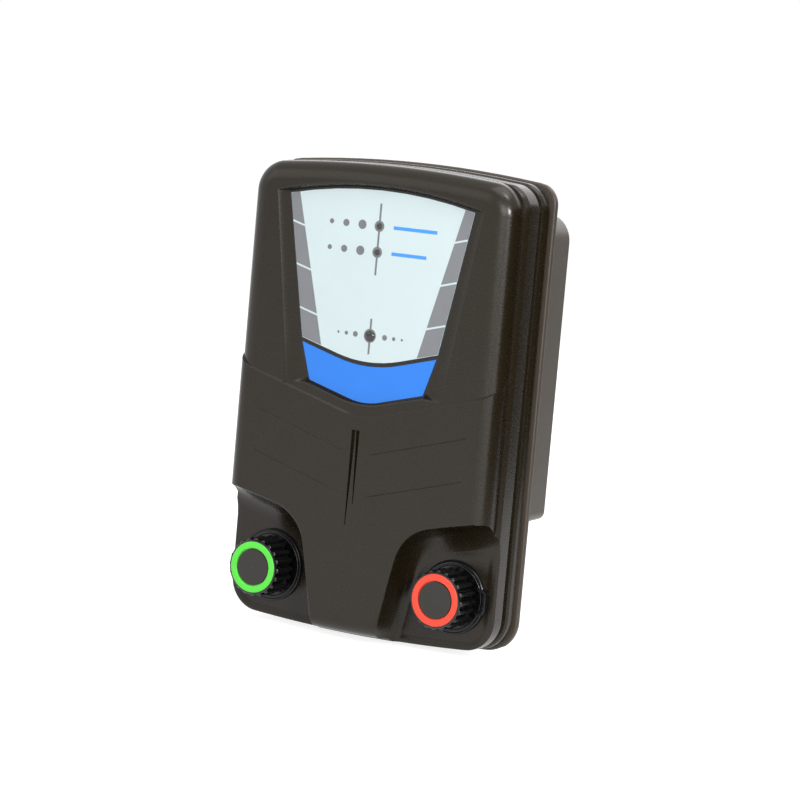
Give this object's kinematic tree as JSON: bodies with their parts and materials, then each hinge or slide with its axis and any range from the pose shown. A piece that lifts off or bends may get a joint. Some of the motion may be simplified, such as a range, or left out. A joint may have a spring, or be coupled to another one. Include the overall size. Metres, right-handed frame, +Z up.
{
  "type": "fence energizer",
  "caption": "Wall-hung electric fence energizer with a domed cover, a recessed label with pilot lamps, and two ringed screw knobs in corner bays.",
  "frame": {"origin": "centre of the flat wall face at the back of the rear box", "axes": "+Z up along the case's height, +Y into the wall, the front looks along -Y, +X to the right seen from the front"},
  "size_m": [0.146, 0.0718, 0.2214],
  "materials": {
    "cover_plastic": "fine moulded texture",
    "case_plastic": "fine moulded texture",
    "seal_rubber": "matte",
    "screw_steel": "zinc plated",
    "plated_steel": "nickel plated",
    "label_film": "satin printed film",
    "blue_film": "satin printed film",
    "lamp_lens": "dark tinted, unlit",
    "board_green": "solder mask",
    "grey_lead": "insulation",
    "red_lead": "insulation",
    "green_lead": "insulation",
    "core_steel": "stacked laminations",
    "coil_copper": null,
    "amber_case": "dipped film capacitor case",
    "ferrite": null,
    "coil_tape": "yellow winding tape",
    "black_case": "component case",
    "sink_aluminium": "extruded",
    "sleeve_blue": "component sleeve",
    "fuse_glass": "clear",
    "black_plastic": "satin",
    "insert_brass": "turned",
    "ring_red": "smooth",
    "ring_green": "smooth",
    "cap_plastic": "satin"
  },
  "bodies": {
    "case": {"front_cover": "cover_plastic", "rear_case": "case_plastic", "case_seal": "seal_rubber", "case_screws": "screw_steel", "label_plate": "label_film", "name_plate": "blue_film", "input_lamp": "lamp_lens", "pulse_lamp": "lamp_lens", "fence_lamp": "lamp_lens", "lamp_board": "board_green", "lamp_board_screws": "screw_steel", "ribbon_lead": "grey_lead", "main_board": "board_green", "board_screws": "screw_steel", "transformer_core": "core_steel", "transformer_coil": "coil_copper", "transformer_clamp": "plated_steel", "storage_capacitor": "amber_case", "inverter_core": "ferrite", "inverter_coil": "coil_tape", "thyristor": "black_case", "heat_sink": "sink_aluminium", "rectifiers": "black_case", "control_chip": "black_case", "filter_capacitor": "sleeve_blue", "surge_disc": "sleeve_blue", "fuse_clips": "plated_steel", "fuse": "fuse_glass", "power_socket": "black_plastic", "socket_nut": "plated_steel", "power_lead": "red_lead", "fence_lead": "red_lead", "earth_lead": "green_lead", "lead_lugs": "plated_steel", "stud_nuts": "plated_steel", "base_washers": "plated_steel", "fence_collar": "black_plastic", "earth_collar": "black_plastic", "fence_stud": "plated_steel", "earth_stud": "plated_steel"},
    "fence_washer": {"fence_clamp_washer": "plated_steel"},
    "earth_washer": {"earth_clamp_washer": "plated_steel"},
    "fence_screw": {"fence_knob": "black_plastic", "fence_insert": "insert_brass", "fence_ring": "ring_red", "fence_cap": "cap_plastic"},
    "earth_screw": {"earth_knob": "black_plastic", "earth_insert": "insert_brass", "earth_ring": "ring_green", "earth_cap": "cap_plastic"}
  },
  "joints": [
    {"name": "fence_washer_slide", "type": "slide", "parent": "case", "child": "fence_washer", "axis": [0, -1, 0], "range_m": [0, 0.00401]},
    {"name": "fence_knob_turn", "type": "hinge", "parent": "fence_washer", "child": "fence_screw", "pos_m": [0.0494, -0.0576, -0.1048], "axis": [0, -1, 0], "range_deg": [0, 1440]},
    {"name": "earth_washer_slide", "type": "slide", "parent": "case", "child": "earth_washer", "axis": [0, -1, 0], "range_m": [0, 0.00401]},
    {"name": "earth_knob_turn", "type": "hinge", "parent": "earth_washer", "child": "earth_screw", "pos_m": [-0.0494, -0.0576, -0.1048], "axis": [0, -1, 0], "range_deg": [0, 1440]}
  ],
  "couplings": [
    {"joint": "fence_washer_slide", "follows": "fence_knob_turn", "m_per_rad": 0.00015915},
    {"joint": "earth_washer_slide", "follows": "earth_knob_turn", "m_per_rad": 0.00015915}
  ]
}
